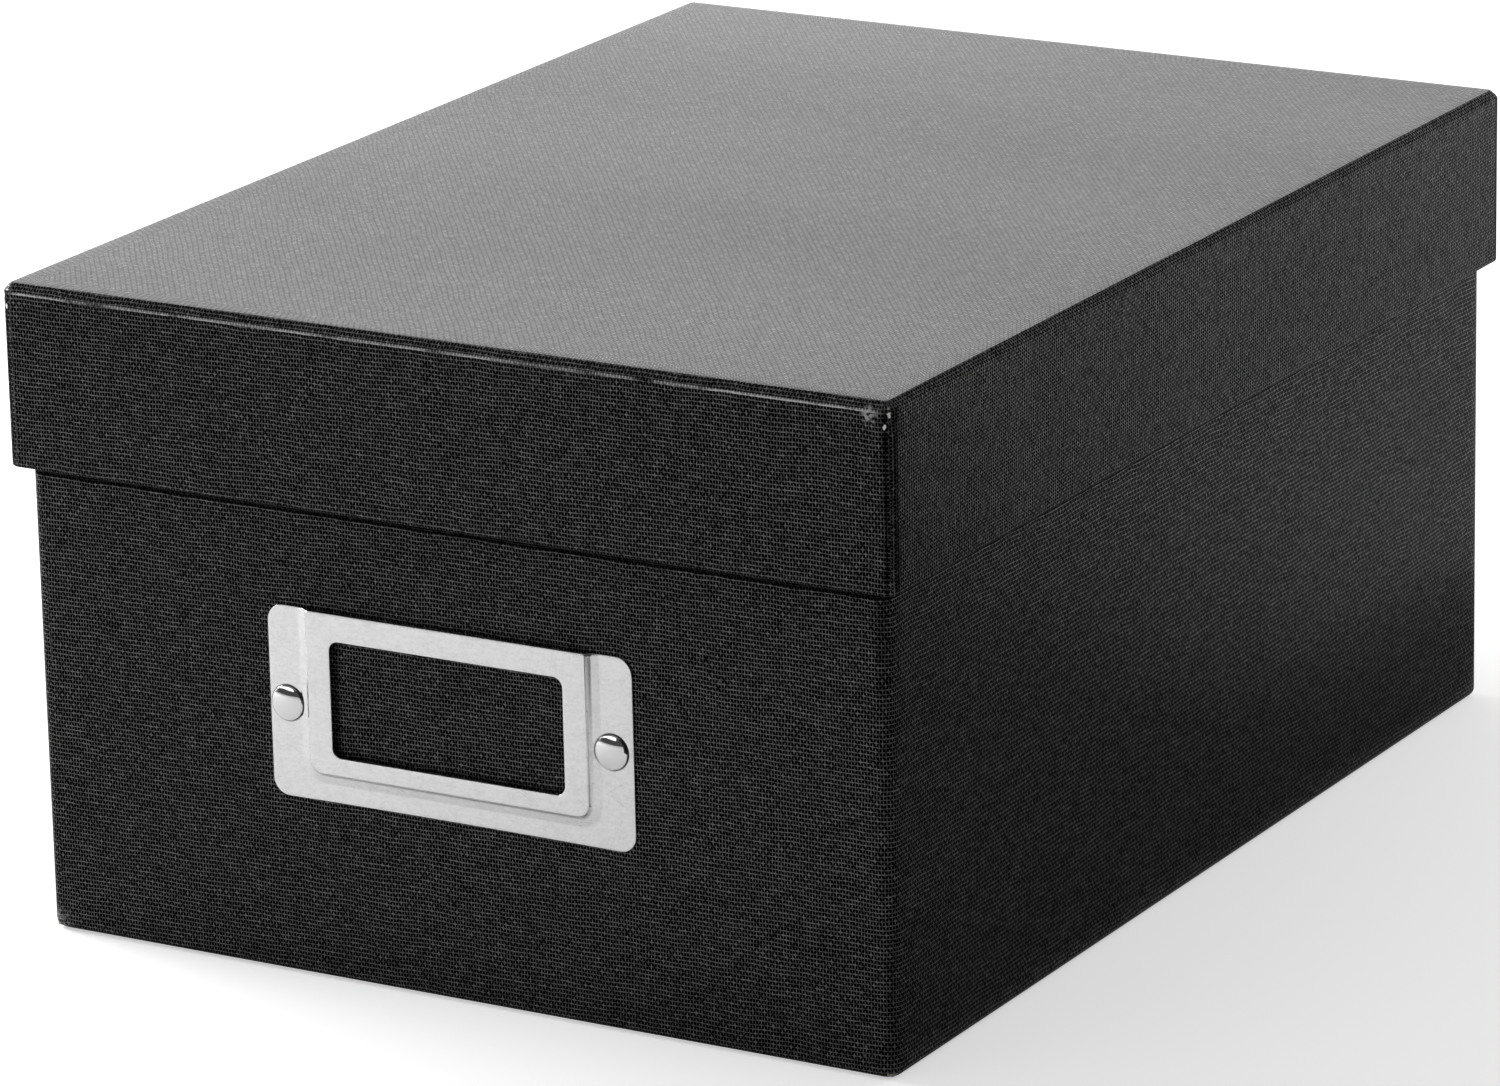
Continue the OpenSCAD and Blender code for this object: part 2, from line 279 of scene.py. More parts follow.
def covering_paper(name, half_x, half_y, low, top):
    """Black linen-embossed paper on one cover, whose size places its wear."""
    f = Finish(name)
    height, full, crossing = linen(f)
    place = f.place()
    x, y, z = f.parts(place)
    patches = f.clouds(place, 14, 3)
    fibres = f.clouds(place, 2600, 2)
    thread = height.step(0.28, 0.95)
    # seen at a low angle, the threads hide the pits between them
    low_view = f.node("ShaderNodeLayerWeight", {}, {"Blend": 0.5}, out=1).step(0.50, 0.80)
    sheen = f.clouds(f.stretched(place, 0.6, 1.5, 1.0), 9, 2)
    gloss = (thread + (0.57 - thread) * (0.75 * low_view)) * (0.80 + 0.38 * sheen)
    # painted light: the pits between the threads stay black as painted shade, the threads are lighter,
    # and random crossings carry painted glints
    crossing_glint = crossing ** 6.0
    bright = thread * (0.2 + 1.9 * full + 2.0 * crossing_glint) * (0.85 + 0.3 * patches)
    base = f.blend((bright * 0.4).clip(), 0.0, 0.16)
    # pale lint caught on the paper
    lint = f.node("ShaderNodeTexVoronoi", {"feature": "F1"}, {"Vector": place, "Scale": 420.0})
    chance = f.clouds(place, 310, 0).step(0.70, 0.76)
    speck = (1 - lint.step(0.05, 0.16)) * chance
    base = f.blend((speck * 0.8).clip(), base, 0.16)
    # handling wears the ink off the threads, most at the box's corners
    gap_x, gap_y = half_x - x.size(), half_y - y.size()
    gap_z = (z - low).under(top - z).size()
    gaps = gap_x + gap_y + gap_z
    edge = 1 - (gaps - gap_x.over(gap_y).over(gap_z)).step(0.5 * MM, 2.6 * MM)
    corner = 1 - gaps.step(0.8 * MM, 5.0 * MM)
    worn = 0.16 * edge + 0.5 * corner
    # drawn tight round the upright corners, the paper shines less
    tight = (1 - gap_x.step(0.1 * MM, 2.2 * MM)) * (1 - gap_y.step(0.1 * MM, 2.2 * MM))
    gloss = gloss * (1 - 0.6 * tight)
    if name == LID_PAPER:
        # a painted highlight: a thin broken light line along the fold where the front begins
        front = 1 - (y + half_y).step(1 * MM, 2 * MM)
        fold = 1 - (top - z - FOLD_DROP).size().step(0.12 * MM, 0.36 * MM)
        fold_highlight = fold * front * f.clouds(place, 160, 3).step(0.26, 0.55) * gap_x.step(1.6 * MM, 5 * MM)
        base = f.blend((fold_highlight * (0.35 + 1.3 * thread)).clip(), base, 0.66)
        # beside each corner the front's and back's paper ends on the sides' paper, in a dark lap line;
        # round the corner beside it lies a broader band of painted shade
        lap = 1 - (gap_x - LAP).size().step(0.10 * MM, 0.26 * MM)
        lap = lap * (1 - gap_y.step(0.5 * MM, 0.9 * MM)) * (top - z).step(FOLD_DROP, FOLD_DROP + 1 * MM)
        corner_shade = 1 - gap_x.step(0.15 * MM, 0.5 * MM)
        corner_shade = corner_shade * (1 - (gap_y - 2.0 * MM).size().step(0.4 * MM, 1.1 * MM))
        lap_and_shade = lap.over(0.75 * corner_shade).clip()
        base = f.blend(lap_and_shade * 0.9, base, 0.0)
        gloss = gloss * (1 - 0.9 * lap_and_shade)
        # near-white spots lie at two tips of each corner
        for tip_x, tip_y, tip_z, size in ((LAP, 0.2 * MM, 4.5 * MM, 0.34 * MM),
                                          (0.75 * MM, 0.7 * MM, 2.3 * MM, 0.40 * MM)):
            off = f.away(f.vector(gap_x, gap_y, (top - z) * 0.6), (tip_x, tip_y, tip_z * 0.6))
            off = off + (f.clouds(place, 1700, 2) - 0.5) * (0.9 * MM)
            base = f.blend(1 - off.step(0.6 * size, size), base, 0.97)
        # and a scuff lies at the right end of the fold
        nick = f.away(place, (half_x - 4.4 * MM, -half_y, top - 2.5 * MM))
        nick = (1 - nick.step(0.5 * MM, 2.3 * MM)) * f.clouds(place, 1100, 2).step(0.44, 0.62)
        base = f.blend(0.8 * nick, base, 0.60)
    else:
        # painted shadow: the paper is darkened from just under the lid's rim, most up to just above the
        # rim and a little further up
        line = z.step(LID_LOW - 1.95 * MM, LID_LOW - 1.65 * MM)
        rim_shadow = line * (0.25 + 0.6 * (1 - z.step(LID_LOW + 0.2 * MM, LID_LOW + 1.2 * MM)))
        base = f.blend(rim_shadow, base, 0.0)
        gloss = gloss * (1 - rim_shadow)
        # a knock has bared the foot of the left front corner
        knock = f.away(place, (-half_x + 1.5 * MM, -half_y, 1.5 * MM))
        knock = (1 - knock.step(1.5 * MM, 4.6 * MM)) * f.clouds(place, 900, 3).step(0.40, 0.60)
        base = f.blend(knock * (0.25 + 0.5 * thread), base, 0.42)
    scuff = worn * (0.35 + thread) * f.clouds(place, 520, 3, 0.65).step(0.40, 0.70)
    base = f.blend(scuff.clip(), base, (0.20, 0.20, 0.196))
    rough = 0.42 + 0.22 * fibres + 0.10 * patches
    return f.surface(
        Base_Color=base, Roughness=rough, Specular_IOR_Level=0.0,
        Coat_Weight=gloss, Coat_Roughness=0.28, Coat_IOR=1.57,
        Normal=f.bumps(height + 0.12 * fibres, 0.10 * MM, 0.6))


def lining_paper():
    f = Finish("lining paper")
    place = f.place()
    pulp = f.clouds(place, 700, 4, 0.6)
    fibre = f.clouds(f.stretched(place, 1.0, 0.25, 1.0), 2400, 2)
    cloud = f.clouds(place, 35, 3)
    tone = (0.25 + 0.5 * pulp + 0.25 * cloud + 0.2 * fibre.step(0.62, 0.8)).clip()
    return f.surface(
        Base_Color=f.blend(tone, 0.012, 0.048), Roughness=0.72 + 0.2 * pulp,
        Specular_IOR_Level=0.3, Normal=f.bumps(pulp + 0.5 * fibre, 0.03 * MM, 0.7))


def greyboard():
    f = Finish("greyboard")
    place = f.place()
    pulp = f.clouds(f.stretched(place, 1.0, 0.5, 1.6), 420, 5, 0.65)
    fleck = f.clouds(place, 1500, 1).step(0.68, 0.78)
    plies = f.clouds(f.stretched(place, 0.2, 0.2, 6.0), 900, 1)
    tone = f.blend((0.7 * pulp + 0.3 * plies).clip(), (0.30, 0.27, 0.23), (0.52, 0.48, 0.42))
    return f.surface(
        Base_Color=f.blend(fleck * 0.6, tone, (0.12, 0.10, 0.09)), Roughness=0.86 + 0.1 * pulp,
        Specular_IOR_Level=0.3, Normal=f.bumps(pulp, 0.08 * MM, 0.8))


def stay_tape():
    f = Finish("stay tape")
    place = f.place()
    pulp = f.clouds(f.stretched(place, 1.0, 1.0, 0.3), 520, 4, 0.6)
    ribs = 0.5 + 0.5 * (f.parts(place)[2] * (math.tau / (0.6 * MM))).cos()
    tone = f.blend((pulp * 0.85 + 0.15 * ribs).clip(), (0.34, 0.22, 0.12), (0.62, 0.46, 0.29))
    return f.surface(
        Base_Color=tone, Roughness=0.62 + 0.25 * pulp, Specular_IOR_Level=0.4,
        Normal=f.bumps(pulp + 0.2 * ribs, 0.02 * MM, 0.6))


def satin_steel():
    f = Finish("satin steel")
    place = f.place()
    brushed = f.clouds(f.stretched(place, 0.3, 1.0, 1.0), 1900, 4, 0.7)
    grit = f.clouds(place, 2300, 3, 0.65)
    dull = f.clouds(place, 210, 4, 0.65).step(0.42, 0.70)
    one_way, other_way = f.turned(place, 0.6), f.turned(place, -0.5)
    scratch = f.clouds(f.stretched(one_way, 0.05, 1.0, 1.0), 2600, 1).step(0.70, 0.76)
    scratch = scratch.over(f.clouds(f.stretched(other_way, 0.04, 1.0, 1.0), 2100, 1).step(0.71, 0.76))
    grain = (0.5 * brushed + 0.5 * grit - 0.04 * dull - 0.10 * scratch).step(0.22, 0.64)
    # painted shade: a dark ring on the plate just round each brad's head
    flat = f.stretched(place, 1.0, 0.0, 1.0)
    left, right = (
        1 - f.away(flat, (side * BRAD_X - SLACK, 0.0, BRAD_Z + side * SLACK)).step(3.66 * MM, 3.92 * MM)
        for side in (-1, 1))
    steel = f.blend(grain, 0.80, 1.0)
    return f.surface(
        Base_Color=f.blend((0.75 * (left + right)).clip(), steel, 0.06), Metallic=1.0,
        Roughness=0.14 + 0.07 * dull + 0.05 * brushed + 0.10 * scratch,
        Normal=f.bumps(brushed + 0.5 * grit + 0.6 * scratch, 0.004 * MM, 0.6))


def bright_nickel():
    f = Finish("bright nickel")
    place = f.place()
    haze = f.clouds(place, 420, 3)
    rub = f.clouds(f.stretched(place, 1.0, 1.0, 0.12), 5200, 2).step(0.62, 0.8)
    # painted shade darkens the foot of each head, where it meets the plate
    depth = (FRONT - SHEET) - f.parts(place)[1]
    foot = 1 - depth.step(0.22 * MM, 0.42 * MM + 0.12 * MM * haze)
    shiny = f.blend(haze, (0.88, 0.88, 0.875), (0.97, 0.97, 0.965))
    return f.surface(
        Base_Color=f.blend(foot * 0.96, shiny, 0.02), Metallic=1.0,
        Roughness=0.02 + 0.03 * haze + 0.04 * rub + 0.3 * foot,
        Normal=f.bumps(haze + 0.2 * rub, 0.006 * MM, 0.3))


# ---- meshes -----------------------------------------------------------------------------------

def put(name, data):
    """Makes an object at the origin and adds it to the scene."""
    made = bpy.data.objects.new(name, data)
    bpy.context.scene.collection.objects.link(made)
    return made


def band(one, other):
    """Faces between two closed rings of as many point numbers."""
    return list(zip(one, other, other[1:] + other[:1], one[1:] + one[:1]))


def show(mesh_name, points, faces, finish, body, replaced, maps=None):
    """Makes a smooth piece that rides on its body in place of its CAD node."""
    mesh = bpy.data.meshes.new(mesh_name)
    mesh.from_pydata([tuple(p) for p in points], [], faces)
    if maps is not None:
        layer = mesh.uv_layers.new(name=MAP)
        layer.data.foreach_set("uv", np.asarray(maps, np.float32).ravel())
    mesh.materials.append(finish)
    mesh.polygons.foreach_set("use_smooth", [True] * len(mesh.polygons))
    mesh.validate()
    mesh.update()
    piece = put(mesh_name, mesh)
    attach(piece, body)
    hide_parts(*replaced)


ALONG_X, ALONG_Y, ROUND = 66, 88, 8         # steps along a front, a side and round a corner
SHARPEST = 0.35 * MM                        # least radius of an upright corner, inside the wall
CLOSE, APART = 3 * MM, 4 * MM               # between two rings on flat paper, seen and unseen


def ring(half_x, half_y, radius):
    """Points round a rectangle with rounded corners, anticlockwise from above, from the left
    end of its front side."""
    x, y = half_x - radius, half_y - radius
    corners = [(x, -y, -90), (x, y, 0), (-x, y, 90), (-x, -y, 180)]
    points = []
    for i, (cx, cy, start) in enumerate(corners):
        steps = ALONG_X if i % 2 == 0 else ALONG_Y
        out = radius * Vector((math.cos(math.radians(start)), math.sin(math.radians(start))))
        first, last = Vector(corners[i - 1][:2]) + out, Vector((cx, cy)) + out
        points += [first.lerp(last, k / steps) for k in range(steps)]
        for k in range(ROUND):
            turn = math.radians(start + 90 * k / ROUND)
            points.append(Vector((cx + radius * math.cos(turn), cy + radius * math.sin(turn))))
    return np.array(points)


def distances(points):
    """Length along a closed ring at each of its points, and once more at its end."""
    steps = np.linalg.norm(np.roll(points, -1, 0) - points, axis=1)
    return np.concatenate([[0], np.cumsum(steps)])


class Tray:
    """A folded sheet that follows a tray's walls: one closed ring of points for each step of
    its section, and flat panels where it has them."""

    def __init__(self, half_x, half_y, corner, one_sheet=False):
        """one_sheet: one sheet covers top and walls, so that its threads turn over each edge
        of the top. Otherwise a strip goes round the walls."""
        self.half_x, self.half_y, self.corner = half_x, half_y, corner
        self.one_sheet = one_sheet
        self.points, self.faces, self.maps, self.rings = [], [], [], []
        along = distances(ring(half_x, half_y, corner))
        self.along = along - (half_x - corner)
        self.count = len(along) - 1

    def wall(self, k):
        """How the flat sheet's two directions follow from the lengths along and down a wall:
        front, right, back or left. The walls change in the middle of each upright corner."""
        k = (k + ROUND // 2) % self.count
        ends = np.cumsum([ALONG_X + ROUND, ALONG_Y + ROUND, ALONG_X + ROUND, ALONG_Y + ROUND])
        return ((1, 0, 0, 1), (0, 1, -1, 0), (-1, 0, 0, -1), (0, -1, 1, 0))[
            int(np.searchsorted(ends, k, side="right"))]

    def sweep(self, section):
        """Adds a ring for each point of a section, with the distance along it."""
        down = 0.0
        before = section[0]
        for inset, z in section:
            down += math.hypot(inset - before[0], z - before[1])
            before = (inset, z)
            self.rings.append((len(self.points), down))
            radius = max(self.corner - inset, SHARPEST)
            walls = ring(self.half_x - inset, self.half_y - inset, radius)
            self.points += [(x, y, z) for x, y in walls]

    def press_laps(self, deep, low, high):
        """Presses a fine upright line in beside each corner, where the front's and back's paper
        ends on the sides' paper."""
        laps = [ALONG_X + 2, ALONG_X + ALONG_Y + 2 * ROUND - 2]
        laps += [k + self.count // 2 for k in laps]
        for start, _ in self.rings:
            for k in laps:
                x, y, z = self.points[start + k]
                if low < z < high and self.half_y - abs(y) < 1 * MM:
                    self.points[start + k] = (x - math.copysign(deep * 0.4, x),
                                              y - math.copysign(deep, y), z)

    def join(self, first, second):
        """Faces between two rings."""
        (a, down_a), (b, down_b) = self.rings[first], self.rings[second]
        for k in range(self.count):
            after = (k + 1) % self.count
            self.faces.append((a + k, b + k, b + after, a + after))
            u, w = self.along[k], self.along[k + 1]
            corners = [(u, down_a), (u, down_b), (w, down_b), (w, down_a)]
            if self.one_sheet:
                turn = self.wall(k)
                corners = [(turn[0] * along + turn[1] * down, turn[2] * along + turn[3] * down)
                           for along, down in corners]
            self.maps += corners

    def panel(self, ring_number, up):
        """Fills a ring with a grid that faces up or down. Its own border is a sharp rectangle
        just inside the ring."""
        start, _ = self.rings[ring_number]
        z = self.points[start][2]
        edge = np.array(self.points[start:start + self.count])
        border_width = 2 * MM
        reach_x, reach_y = edge[:, 0].max() - border_width, edge[:, 1].max() - border_width
        wide, deep = ALONG_X + ROUND, ALONG_Y + ROUND
        first = len(self.points)
        for j in range(deep + 1):
            for i in range(wide + 1):
                self.points.append((reach_x * (2 * i / wide - 1), reach_y * (2 * j / deep - 1), z))

        def at(i, j):
            return first + j * (wide + 1) + i

        border = ([at(i, 0) for i in range(wide)] + [at(wide, j) for j in range(deep)]
                  + [at(i, deep) for i in range(wide, 0, -1)] + [at(0, j) for j in range(deep, 0, -1)])
        shift = ROUND // 2                   # the ring starts where its corner ends
        quads = []
        for k in range(self.count):
            after = (k + 1) % self.count
            inner, inner_after = border[(k + shift) % self.count], border[(after + shift) % self.count]
            quads.append((start + k, start + after, inner_after, inner))
        for j in range(deep):
            for i in range(wide):
                quads.append((at(i, j), at(i + 1, j), at(i + 1, j + 1), at(i, j + 1)))
        for quad in quads:
            quad = quad if up else quad[::-1]
            self.faces.append(quad)
            self.maps += [(self.points[p][0], -self.points[p][1]) for p in quad]


def arc(centre_inset, centre_z, radius, start, end, steps):
    """Points of a section's arc as (inset, z). Angle 0 points out of the wall, 90 up."""
    turns = [math.radians(start + (end - start) * k / steps) for k in range(steps + 1)]
    return [(centre_inset - radius * math.cos(t), centre_z + radius * math.sin(t)) for t in turns]


def folded_edge():
    """The lid's edge from its flat top to its upright wall: two soft folds with a nearly flat
    slope between them, as (inset, z)."""
    # each from one angle to another, with its radius and its count of steps
    folds = [(90, 52, 0.5 * MM, 5), (52, 36, 6.75 * MM, 4), (36, 0, 0.45 * MM, 6)]
    inset = sum(radius * (math.cos(math.radians(last)) - math.cos(math.radians(first)))
                for first, last, radius, _ in folds)
    z = LID_TOP
    path = [(inset, z)]
    for first, last, radius, steps in folds:
        for k in range(steps):
            a = math.radians(first + (last - first) * k / steps)
            b = math.radians(first + (last - first) * (k + 1) / steps)
            inset -= radius * (math.cos(b) - math.cos(a))
            z -= radius * (math.sin(a) - math.sin(b))
            path.append((max(inset, 0.0), z))
    return path


def soft_waves(tray, low, high, deep, seed):
    """A tray's points, with its walls between two heights pressed in by a small, slowly varying
    depth, as wrapped board has."""
    wide, tall = 22, 30                      # swellings to a metre, along and up a wall
    moved = np.array(tray.points)
    for k, (x, y, z) in enumerate(tray.points):
        if low < z < high and max(abs(x) - tray.half_x, abs(y) - tray.half_y) > -0.1 * MM:
            push = 0.5 + 0.5 * noise.noise(Vector((x * wide + seed, y * wide, z * tall)))
            if abs(abs(x) - LID_X) < abs(abs(y) - LID_Y):
                moved[k, 0] -= math.copysign(deep * push, x)
            else:
                moved[k, 1] -= math.copysign(deep * push, y)
    return moved


def spread(low, high, step):
    """Heights from low to high, about a step apart, without the ends."""
    count = max(int(round(abs(high - low) / step)), 1)
    return [low + (high - low) * k / count for k in range(1, count)]


def lid_cover(finish):
    """The lid's covering paper: top, rounded edges, skirt, rim and the part turned in."""
    tray = Tray(LID_X, LID_Y, LID_CORNER, one_sheet=True)
    level = LID_EDGE + 3 * MM                # the top's flat panel begins this far in
    outside = [(level, LID_TOP), (LID_EDGE + 1 * MM, LID_TOP)]
    outside += folded_edge()
    outside += [(0.0, z) for z in spread(LID_TOP - LID_EDGE, LID_LOW + RIM, CLOSE)]
    outside += arc(RIM, LID_LOW + RIM, RIM, 0, -90, 5)
    outside += arc(WALL - RIM, LID_LOW + RIM, RIM, -90, -180, 5)
    outside += [(WALL, z) for z in spread(LID_LOW + RIM, LID_LOW + TURN_IN, APART)]
    outside.append((WALL, LID_LOW + TURN_IN))
    inside = [(WALL - PAPER, LID_LOW + TURN_IN)]
    inside += arc(WALL - RIM, LID_LOW + RIM, RIM - PAPER, -180, -90, 4)
    inside += arc(RIM, LID_LOW + RIM, RIM - PAPER, -90, 0, 4)
    # the folds again, about a paper's thickness further in
    inside += [(inset + 0.75 * PAPER, z - 0.65 * PAPER) for inset, z in folded_edge()[::-1]]
    inside += [(level, LID_TOP - PAPER)]
    tray.sweep(outside + inside)
    for k in range(len(tray.rings) - 1):
        tray.join(k, k + 1)
    tray.panel(0, up=True)
    tray.panel(len(tray.rings) - 1, up=False)
    tray.press_laps(0.12 * MM, LID_LOW + RIM, LID_TOP - FOLD_DROP - 1 * MM)
    points = soft_waves(tray, LID_LOW + 2 * MM, LID_TOP - 4 * MM, 0.08 * MM, 3.0)
    show("lid_cover", points, tray.faces, finish, "lid", ["lid_wrap"],
         maps=tray.maps)


def base_cover(finish):
    """The base's covering paper, from the edge turned in at the rim to the edge turned under."""
    tray = Tray(BASE_X, BASE_Y, BASE_CORNER)
    outside = [(WALL, BASE_TOP - TURN_IN)]
    outside += [(WALL, z) for z in spread(BASE_TOP - TURN_IN, BASE_TOP - RIM, APART)]
    outside += arc(WALL - RIM, BASE_TOP - RIM, RIM, 180, 90, 5)
    outside += arc(RIM, BASE_TOP - RIM, RIM, 90, 0, 5)
    outside += [(0.0, z) for z in spread(BASE_TOP - RIM, BASE_LOW + BASE_EDGE, CLOSE)]
    outside += arc(BASE_EDGE, BASE_LOW + BASE_EDGE, BASE_EDGE, 0, -90, 7)
    outside += [(inset, BASE_LOW) for inset in spread(BASE_EDGE, TURN_UNDER, APART)]
    outside.append((TURN_UNDER, BASE_LOW))
    inside = [(TURN_UNDER, BASE_LOW + PAPER)]
    inside += arc(BASE_EDGE, BASE_LOW + BASE_EDGE, BASE_EDGE - PAPER, -90, 0, 5)
    inside += arc(RIM, BASE_TOP - RIM, RIM - PAPER, 0, 90, 4)
    inside += arc(WALL - RIM, BASE_TOP - RIM, RIM - PAPER, 90, 180, 4)
    inside += [(WALL - PAPER, BASE_TOP - TURN_IN)]
    tray.sweep(outside + inside)
    count = len(tray.rings)
    for k in range(count):
        tray.join(k, (k + 1) % count)
    points = soft_waves(tray, BASE_LOW + 4 * MM, BASE_TOP - 2 * MM, 0.10 * MM, 11.0)
    show("base_cover", points, tray.faces, finish, "base", ["base_wrap"],
         maps=tray.maps)


# ---- label holder ----------------------------------------------------------------------------

def outline(half_x, low, high, radius):
    """A closed outline with rounded corners, anticlockwise as seen from the front."""
    longest = 0.6 * MM                       # between two points
    steps = 8                                # round each corner
    points = []
    x = half_x - radius
    for cx, cz, start in ((x, low + radius, -90), (x, high - radius, 0),
                          (-x, high - radius, 90), (-x, low + radius, 180)):
        for k in range(steps + 1):
            turn = math.radians(start + 90 * k / steps)
            points.append((cx + radius * math.cos(turn), cz + radius * math.sin(turn)))
    dense = []
    for k, point in enumerate(points):
        after = points[(k + 1) % len(points)]
        parts = max(int(math.dist(point, after) / longest), 1)
        dense += [(point[0] + (after[0] - point[0]) * j / parts,
                   point[1] + (after[1] - point[1]) * j / parts) for j in range(parts)]
    return dense


def circle(x, z, radius):
    steps = 32
    turns = [math.tau * k / steps for k in range(steps)]
    return [(x + radius * math.cos(t), z + radius * math.sin(t)) for t in turns]


def from_panel(x, z):
    """Distance of a point outside the flat raised panel, which is open at its top."""
    dx = abs(x) - (PANEL_X - PANEL_CORNER)
    dz = (PANEL_LOW + PANEL_CORNER) - z
    if dx > 0 and dz > 0:
        return math.hypot(dx, dz) - PANEL_CORNER
    return max(dx, dz) - PANEL_CORNER


def raised(x, z):
    """How far the sheet stands out of the wall: panel, fold, flank, fold, slight slope, flange."""
    run = min(max(from_panel(x, z), 0.0), BEND_RUN)
    top_run = FLANK_FOLD * math.sin(FLANK)
    top_drop = FLANK_FOLD * (1 - math.cos(FLANK))
    low_run = FOOT_FOLD * (math.sin(FLANK) - math.sin(FOOT))
    low_drop = FOOT_FOLD * (math.cos(FOOT) - math.cos(FLANK))
    flank = (RISE - top_drop - low_drop - (BEND_RUN - top_run - low_run) * math.tan(FOOT)) / (
        math.tan(FLANK) - math.tan(FOOT))
    if run < top_run:
        return RISE - FLANK_FOLD + math.sqrt(FLANK_FOLD ** 2 - run ** 2)
    if run < top_run + flank:
        return RISE - top_drop - (run - top_run) * math.tan(FLANK)
    foot = top_run + flank + low_run
    left = (BEND_RUN - foot) * math.tan(FOOT)
    if run < foot:
        back = FOOT_FOLD * math.sin(FOOT) + foot - run
        return left + FOOT_FOLD * math.cos(FOOT) - math.sqrt(FOOT_FOLD ** 2 - back ** 2)
    return (BEND_RUN - run) * math.tan(FOOT)


def label_holder(finish):
    """The pressed plate: joggled panel, window, brad holes and rolled-over punched edges."""
    loops = [outline(HOLDER_X - ROLL, HOLDER_LOW + ROLL, HOLDER_TOP - ROLL, HOLDER_CORNER - ROLL),
             outline(WINDOW_X + ROLL, WINDOW_LOW - ROLL, WINDOW_TOP + ROLL, WINDOW_CORNER + ROLL)[::-1]]
    for side in (-1, 1):
        loops.append(circle(side * BRAD_X, BRAD_Z, BRAD_HOLE + ROLL)[::-1])
    points, edges, spans = [], [], []
    for loop in loops:
        start = len(points)
        points += loop
        edges += [(start + k, start + (k + 1) % len(loop)) for k in range(len(loop))]
        spans.append((start, len(loop)))

    def clear(x, z, margin):
        """Whether a point lies on the flat sheet, at least a margin from each loop."""
        off = ROLL + margin
        if not (abs(x) < HOLDER_X - off and HOLDER_LOW + off < z < HOLDER_TOP - off):
            return False
        if abs(x) < WINDOW_X + off and WINDOW_LOW - off < z < WINDOW_TOP + off:
            return False
        return math.hypot(abs(x) - BRAD_X, z - BRAD_Z) > BRAD_HOLE + off

    # rows of points along the bend, so that it curves smoothly: millimetres out from the panel
    rows = [-0.15, 0.0, 0.08, 0.16, 0.24, 0.32, 0.38, 0.52, 0.66, 0.80, 0.87, 0.94, 1.01, 1.08, 1.16,
            1.30, 1.65, 2.00, 2.35, 2.60, 2.70, 2.80]
    gap = 0.5 * MM                           # between two points of a row
    turn_x, turn_z = PANEL_X - PANEL_CORNER, PANEL_LOW + PANEL_CORNER
    for row in rows:
        out = row * MM
        radius = PANEL_CORNER + out
        path = [(PANEL_X + out, z) for z in np.arange(HOLDER_TOP - 0.1 * MM, turn_z, -gap)]
        path += [(turn_x + radius * math.cos(t), turn_z + radius * math.sin(t))
                 for t in np.linspace(0, -math.pi / 2, 14)]
        path += [(x, PANEL_LOW - out) for x in np.arange(turn_x - gap, 0, -gap)]
        for x, z in path:
            for side in (-1, 1):
                if clear(x, z, 0.12 * MM):
                    points.append((side * x, z))
    # and a plain grid on the flat parts
    pitch, apart = 0.7 * MM, 0.45 * MM
    for x in np.arange(-HOLDER_X, HOLDER_X, pitch):
        for z in np.arange(HOLDER_LOW, HOLDER_TOP, pitch):
            if clear(x, z, 0.3 * MM) and not -apart < from_panel(x, z) < BEND_RUN + apart:
                points.append((x, z))
    # 1 asks for the triangles inside the edges, and points within 1e-7 m become one
    flat, _, faces, source, _, _ = geometry.delaunay_2d_cdt(
        [Vector(p) for p in points], edges, [], 1, 1e-7)
    where = {came: k for k, points_there in enumerate(source) for came in points_there}

    def solid(face):
        """Whether a triangle's middle lies on the sheet, not in the window or a hole."""
        x, z = (sum(flat[k][i] for k in face) / 3 for i in (0, 1))
        half_z = (WINDOW_TOP - WINDOW_LOW) / 2
        dx = max(abs(x) - (WINDOW_X - WINDOW_CORNER), 0)
        dz = max(abs(z - WINDOW_LOW - half_z) - (half_z - WINDOW_CORNER), 0)
        if math.hypot(dx, dz) < WINDOW_CORNER + ROLL:
            return False
        return math.hypot(abs(x) - BRAD_X, z - BRAD_Z) > BRAD_HOLE + ROLL * 0.9

    def placed(x, z, depth):
        """A point of the sheet, so deep below its front face. Its lower edge bows up a little."""
        bow = 0.25 * MM * (1 - (x / HOLDER_X) ** 2) * max(0.0, 1 - (z - HOLDER_LOW) / (6 * MM))
        return (x, FRONT - SHEET - raised(x, z) + depth, z + bow)

    shape = [placed(p.x, p.y, deep) for deep in (0.0, SHEET) for p in flat]
    count = len(flat)
    quads = []
    for face in faces:
        if len(face) == 3 and solid(face):
            a, b, c = face
            turn = (flat[b] - flat[a]).cross(flat[c] - flat[a])
            if turn < 0:
                a, b, c = a, c, b
            quads.append((a, b, c))
            quads.append((count + a, count + c, count + b))
    # a punched edge's section, as millimetres out of the loop and below the front face
    profile = [(0.03, 0.01), (0.07, 0.03), (0.10, 0.065), (0.13, 0.14), (0.13, 0.43), (0.06, 0.45)]
    for start, size in spans:
        ring_before = [where[start + k] for k in range(size)]
        base = [flat[k] for k in ring_before]
        ways = []
        for k in range(size):
            along = base[(k + 1) % size] - base[k - 1]
            ways.append(Vector((along.y, -along.x)).normalized())
        for out, deep in profile:
            first = len(shape)
            for p, way in zip(base, ways):
                spot = p + way * (out * MM)
                shape.append(placed(spot.x, spot.y, deep * MM))
            ring_now = list(range(first, first + size))
            quads += band(ring_before, ring_now)
            ring_before = ring_now
        quads += band(ring_before, [count + where[start + k] for k in range(size)])
    used = sorted({k for quad in quads for k in quad})
    renumber = {k: n for n, k in enumerate(used)}
    show("card_holder", [shape[k] for k in used],
         [tuple(renumber[k] for k in quad) for quad in quads],
         finish, "base", ["label_holder"])


# ---- brads ------------------------------------------------------------------------------------

